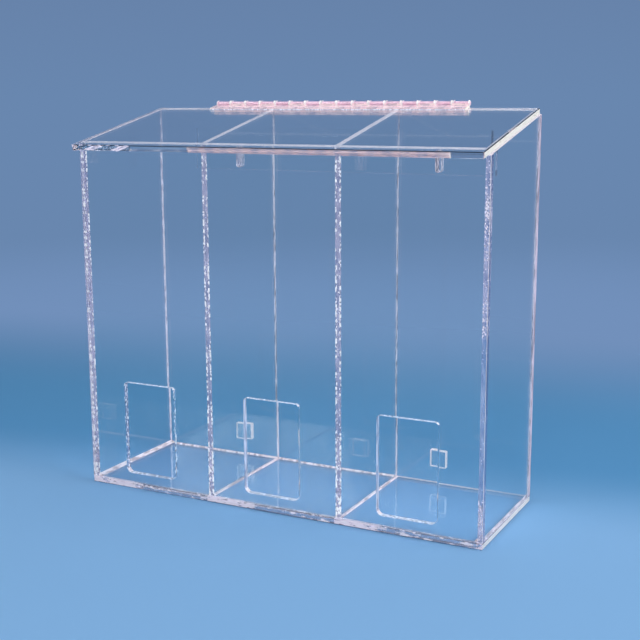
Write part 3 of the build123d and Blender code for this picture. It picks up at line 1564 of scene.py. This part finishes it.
@dataclass
class PianoHinge(Assembly):
    """The clear piano hinge: two leaves with interleaving knuckles, and a pin.

    A leaf is modelled in the hinge's own frame: the pin runs along X through
    the origin, -Y points along the leaf, and +Z from its glued face to the pin.
    """

    seat: Seat
    length: float = 304.8 * MM
    leaf_reach: float = 17.45 * MM
    leaf_thickness: float = 2.4 * MM
    leaf_bevel: float = 1.0 * MM
    barrel_radius: float = 3.17 * MM
    bore_radius: float = 1.25 * MM
    bore_overrun: float = 30.48 * MM
    standoff: float = 3.475 * MM
    notch_clearance: float = 0.4 * MM
    web_overlap: float = 0.2 * MM
    knuckle_count: int = 16
    knuckle_gap: float = 0.4 * MM
    knuckle_chamfer: float = 1.0 * MM
    knuckle_ring: float = 1.7 * MM
    barrel_sides: int = 32
    arris: float = 0.12 * MM
    end_slant: float = 0.4
    round_allowance: float = 1.05
    barrel_share: float = 0.95
    barrel_spread: float = 0.9

    @property
    def pitch(self) -> float:
        """Length of one knuckle with its gap."""
        return self.length / self.knuckle_count

    def build(self) -> list[Object]:
        """Build both leaves and the pin, and lay them in place.

        Returns:
            The lid's leaf, the back's leaf and the pin.
        """
        low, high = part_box("hinge_pin")
        centre = (low + high) / 2
        lid_leaf = self.leaf("hinge_lid_leaf_moulding")
        back_leaf = copy_piece(lid_leaf, "hinge_back_leaf_moulding")
        self.dress_leaf(lid_leaf, "hinge_lid_leaf", Body.LID)
        lid_turn = Matrix.Rotation(self.seat.tilt, 4, "X")
        lid_leaf.data.transform(Matrix.Translation(centre) @ lid_turn)
        # The back's leaf is the same moulding, hung down and turned end for end.
        self.dress_leaf(back_leaf, "hinge_back_leaf", Body.CASE)
        back_turn = Matrix(((-1, 0, 0, 0), (0, 0, 1, 0), (0, 1, 0, 0), (0, 0, 0, 1)))
        back_leaf.data.transform(Matrix.Translation(centre) @ back_turn)
        pin = rod("hinge_pin_rod", centre, (high.z - low.z) / 2, high.x - low.x, self.barrel_sides)
        break_edges(pin, self.arris)
        smooth(pin)
        self.hand_over(pin, lambda face: self.finishes.bored, "hinge_pin", slot=Slot.MOULDING)
        return [lid_leaf, back_leaf, pin]

    def leaf(self, name: str) -> Object:
        """Model one leaf with every second knuckle, in the hinge's own frame.

        Args:
            name: The new object's name.

        Returns:
            The leaf, with its bore cut.
        """
        slope = self.seat.along
        notch = self.standoff * (1 + slope.z) / slope.y + self.notch_clearance
        glued = -self.standoff
        top = glued + self.leaf_thickness
        piece = block(
            name,
            Vector((-self.length / 2, -self.leaf_reach, glued - WELD_DEPTH)),
            Vector((self.length / 2, -notch, top)),
        )
        bevel_edges(
            piece,
            lambda edge: all(
                v.co.y < -self.leaf_reach + self.arris and v.co.z > top - self.arris
                for v in edge.verts
            ),
            self.leaf_bevel,
        )
        half = (self.pitch - self.knuckle_gap) / 2
        web = block(
            "web",
            Vector((-half, -notch - self.web_overlap, glued - WELD_DEPTH)),
            Vector((half, 0, top)),
        )
        first = (self.pitch - self.length) / 2
        middles = [first + index * self.pitch for index in range(0, self.knuckle_count, 2)]
        combine(piece, [web, self.barrel(half)], Blend.JOIN, middles)
        bore_length = self.length + 2 * self.bore_overrun
        bore = rod("bore", Vector(), self.bore_radius, bore_length, self.barrel_sides)
        combine(piece, [bore], Blend.CUT)
        break_edges(piece, self.arris)
        smooth(piece)
        return piece

    def barrel(self, half: float) -> Object:
        """Model one knuckle's barrel, chamfered and scored near both ends.

        Args:
            half: Half its length along X.

        Returns:
            The barrel, still solid.
        """
        barrel = rod("barrel", Vector(), self.barrel_radius, half * 2, self.barrel_sides)
        bevel_edges(
            barrel,
            lambda edge: abs(edge.verts[0].co.x - edge.verts[1].co.x) < self.arris,
            self.knuckle_chamfer,
        )
        ring = half - self.knuckle_ring + self.knuckle_gap / 2
        for x in (-ring, ring):
            split(barrel, Vector((x, 0, 0)), Vector((1, 0, 0)))
        return barrel

    def dress_leaf(self, piece: Object, node: str, body: Body) -> None:
        """Dress a leaf in its own frame, before it is laid in place.

        Args:
            piece: The leaf.
            node: The frame's node that it replaces.
            body: The body that it rides on.
        """
        finishes = self.finishes
        bore_limit = self.bore_radius * self.round_allowance
        barrel_limit = self.barrel_radius * self.round_allowance

        def pick(face: Face) -> Material:
            """Choose gloss, bore, film, knuckle end, leaf front or leaf end.

            Args:
                face: A face of the leaf, in the hinge's own frame.

            Returns:
                Its material.
            """
            x, y, z = face.center
            reach = math.hypot(y, z)
            if reach < bore_limit:
                return finishes.bored
            if face.normal.z < -SQUARE and z < -self.standoff + self.arris:
                return finishes.film
            # Knuckle ends take the whitest finish and leaf ends the ivory one, both partly painted
            # light.
            if abs(face.normal.x) > self.end_slant:
                return finishes.dry_cut_and_painted_light if reach < barrel_limit else finishes.dry_end_and_painted_light
            share = (x + self.length / 2) / self.pitch
            to_gap = abs(share - round(share)) * self.pitch
            outward = face.normal.y * y + face.normal.z * z
            least = self.barrel_share * self.barrel_radius
            on_barrel = outward > least > self.barrel_spread * reach
            # The ring by each knuckle gap is painted white too, partly as painted light.
            if on_barrel and to_gap < self.knuckle_ring:
                return finishes.dry_cut_and_painted_light
            at_front = face.normal.y < -LEANING and y < self.arris - self.leaf_reach
            return finishes.routed if at_front else finishes.moulded

        self.hand_over(piece, pick, node, body, Slot.MOULDING)


# ---------------------------------------------------------------------------
# Floor, light and camera
# ---------------------------------------------------------------------------
@dataclass(frozen=True)
class Softbox:
    """A square lamp aimed at the middle of the dispenser."""

    name: str
    place: Place
    size: float
    power: float
    aim: Place = (0.0, 0.0, 0.2)

    def build(self) -> None:
        """Hang the lamp."""
        data = bpy.data.lights.new(self.name, "AREA")
        data.energy = self.power
        data.size = self.size
        lamp = bpy.data.objects.new(self.name, data)
        bpy.context.scene.collection.objects.link(lamp)
        lamp.location = self.place
        lamp.rotation_mode = "QUATERNION"
        way = Vector(self.aim) - Vector(self.place)
        lamp.rotation_quaternion = way.to_track_quat("-Z", "Y")


@dataclass(frozen=True)
class Viewpoint:
    """The camera: its place, its aim in degrees, and its lens in millimetres."""

    place: Place = (0.5618, -1.0654, 0.4236)
    azimuth: float = 27.025
    elevation: float = 10.979
    roll: float = -0.263
    lens: float = 64.98
    sensor_width: float = 36.0
    clip_start: float = 0.01

    def build(self) -> None:
        """Place the camera and make it the scene's own."""
        data = bpy.data.cameras.new("camera")
        data.lens = self.lens
        data.sensor_width = self.sensor_width
        data.clip_start = self.clip_start
        camera = bpy.data.objects.new("camera", data)
        bpy.context.scene.collection.objects.link(camera)
        azimuth, elevation = math.radians(self.azimuth), math.radians(self.elevation)
        level = math.cos(elevation)
        way = Vector(
            (-math.sin(azimuth) * level, math.cos(azimuth) * level, -math.sin(elevation))
        )
        roll = Quaternion((0, 0, 1), math.radians(self.roll))
        camera.location = self.place
        camera.rotation_mode = "QUATERNION"
        camera.rotation_quaternion = way.to_track_quat("-Z", "Y") @ roll
        bpy.context.scene.camera = camera


@dataclass
class Studio:
    """A plain pale floor, soft lamps and the camera."""

    near_colour: str = "#719ac3"
    shade_colour: str = "#4e82ae"
    middle_colour: str = "#7290bb"
    far_colour: str = "#6987af"
    high_colour: str = "#657da3"
    floor_radius: float = 6.0
    floor_sides: int = 96
    floor_drop: float = 0.4 * MM
    sweep_way: Place = (-0.2, 1.0, 0.0)
    shade_span: Span = (-0.06, 0.17)
    behind_span: Span = (0.32, 0.95)
    around_span: Span = (0.7, 1.9)
    fade_span: Span = (1.15, 2.6)
    climb_span: Span = (0.0, 0.2)
    world_colour: str = "#ffffff"
    world_light: float = 0.4
    clear_bounces: int = 32
    transmission_bounces: int = 28
    glossy_bounces: int = 12
    softboxes: tuple[Softbox, ...] = (
        Softbox("key_softbox", (1.0, -2.0, 1.15), 1.7, 34.0),
        Softbox("fill_softbox", (-1.5, -1.6, 1.3), 1.5, 19.5),
        Softbox("side_softbox", (1.8, 0.1, 1.95), 1.2, 37.0),
        Softbox("top_softbox", (0.1, 0.3, 1.8), 1.4, 3.0),
    )

    def build(self) -> None:
        """Set up everything round the dispenser."""
        self.floor()
        self.world()
        for softbox in self.softboxes:
            softbox.build()
        Viewpoint().build()
        scene = bpy.context.scene
        scene.view_settings.view_transform = "Standard"
        # Light crosses many faces of clear sheet before it leaves the case.
        scene.cycles.max_bounces = self.clear_bounces
        scene.cycles.transmission_bounces = self.transmission_bounces
        scene.cycles.transparent_max_bounces = self.clear_bounces
        scene.cycles.glossy_bounces = self.glossy_bounces

    def floor(self) -> None:
        """Lay a round floor that fades into the background."""
        deselect_all()
        bpy.ops.mesh.primitive_circle_add(
            vertices=self.floor_sides,
            radius=self.floor_radius,
            fill_type="NGON",
            location=(0, 0, -self.floor_drop),
        )
        disc = bpy.context.object
        disc.name = "studio_floor"
        disc.data.materials.append(self.paper())

    def paper(self) -> Material:
        """Build the floor's matt paper.

        It is pale in front, has a soft shade behind the dispenser, and fades
        into the background's own tones further off and all round.

        Returns:
            The finished material.
        """
        mat = empty_material("studio_floor_matt_paper")
        tree = mat.node_tree
        place = add_node(tree, "ShaderNodeTexCoord").outputs["Object"]
        away = add_node(
            tree, "ShaderNodeVectorMath", {0: place, 1: self.sweep_way}, operation="DOT_PRODUCT"
        ).outputs["Value"]
        reach = add_node(
            tree, "ShaderNodeVectorMath", {0: place}, operation="LENGTH"
        ).outputs["Value"]
        shade, behind, around, fade = (
            add_node(
                tree,
                "ShaderNodeMapRange",
                {"Value": distance, "From Min": span[0], "From Max": span[1]},
                interpolation_type="SMOOTHSTEP",
            ).outputs["Result"]
            for distance, span in (
                (away, self.shade_span),
                (away, self.behind_span),
                (reach, self.around_span),
                (reach, self.fade_span),
            )
        )
        near_tone, far_tone = (
            add_node(
                tree,
                "ShaderNodeMix",
                {"Factor": share, "A": linear_colour(first), "B": linear_colour(second)},
                data_type="RGBA",
            ).outputs["Result"]
            for share, first, second in (
                (shade, self.near_colour, self.shade_colour),
                (fade, self.middle_colour, self.far_colour),
            )
        )
        rise = add_node(tree, "ShaderNodeMath", {0: behind, 1: around}, operation="MAXIMUM")
        paper = add_node(tree, "ShaderNodeBsdfDiffuse", {"Color": near_tone})
        far = add_node(tree, "ShaderNodeEmission", {"Color": far_tone})
        mix = add_node(
            tree,
            "ShaderNodeMixShader",
            {0: rise.outputs[0], 1: paper.outputs[0], 2: far.outputs[0]},
        )
        add_node(tree, "ShaderNodeOutputMaterial", {"Surface": mix.outputs[0]})
        return mat

    def world(self) -> None:
        """Set white light for surfaces, and the pale background for sight."""
        world = bpy.data.worlds.new("studio_world")
        bpy.context.scene.world = world
        world.use_nodes = True
        tree = world.node_tree
        tree.nodes.clear()
        place = add_node(tree, "ShaderNodeTexCoord").outputs["Generated"]
        climb = add_node(
            tree,
            "ShaderNodeMapRange",
            {
                "Value": add_node(tree, "ShaderNodeSeparateXYZ", {0: place}).outputs["Z"],
                "From Min": self.climb_span[0],
                "From Max": self.climb_span[1],
            },
        )
        sky = add_node(
            tree,
            "ShaderNodeMix",
            {
                "Factor": climb.outputs["Result"],
                "A": linear_colour(self.far_colour),
                "B": linear_colour(self.high_colour),
            },
            data_type="RGBA",
        )
        seen = add_node(tree, "ShaderNodeBackground", {"Color": sky.outputs["Result"]})
        light = add_node(
            tree,
            "ShaderNodeBackground",
            {"Color": linear_colour(self.world_colour), "Strength": self.world_light},
        )
        rays = add_node(tree, "ShaderNodeLightPath").outputs
        sight = rays["Is Camera Ray"]
        for ray in ("Is Glossy Ray", "Is Transmission Ray"):
            sight = add_node(
                tree, "ShaderNodeMath", {0: sight, 1: rays[ray]}, operation="MAXIMUM"
            ).outputs[0]
        mix = add_node(
            tree, "ShaderNodeMixShader", {0: sight, 1: light.outputs[0], 2: seen.outputs[0]}
        )
        add_node(tree, "ShaderNodeOutputWorld", {"Surface": mix.outputs[0]})


def main() -> None:
    """Build the sub-assemblies in order, report each piece, and set up the studio."""
    finishes = Finishes()
    seat = Seat()
    case = Case(finishes, seat)
    assemblies = (
        case,
        FloorBeads(finishes),
        WallFittings(finishes, case),
        Lid(finishes, seat),
        PianoHinge(finishes, seat),
    )
    for assembly in assemblies:
        for piece in assembly.build():
            log.info("%s: %d faces", piece.name, len(piece.data.polygons))
    Studio().build()


if __name__ == "__main__":
    main()
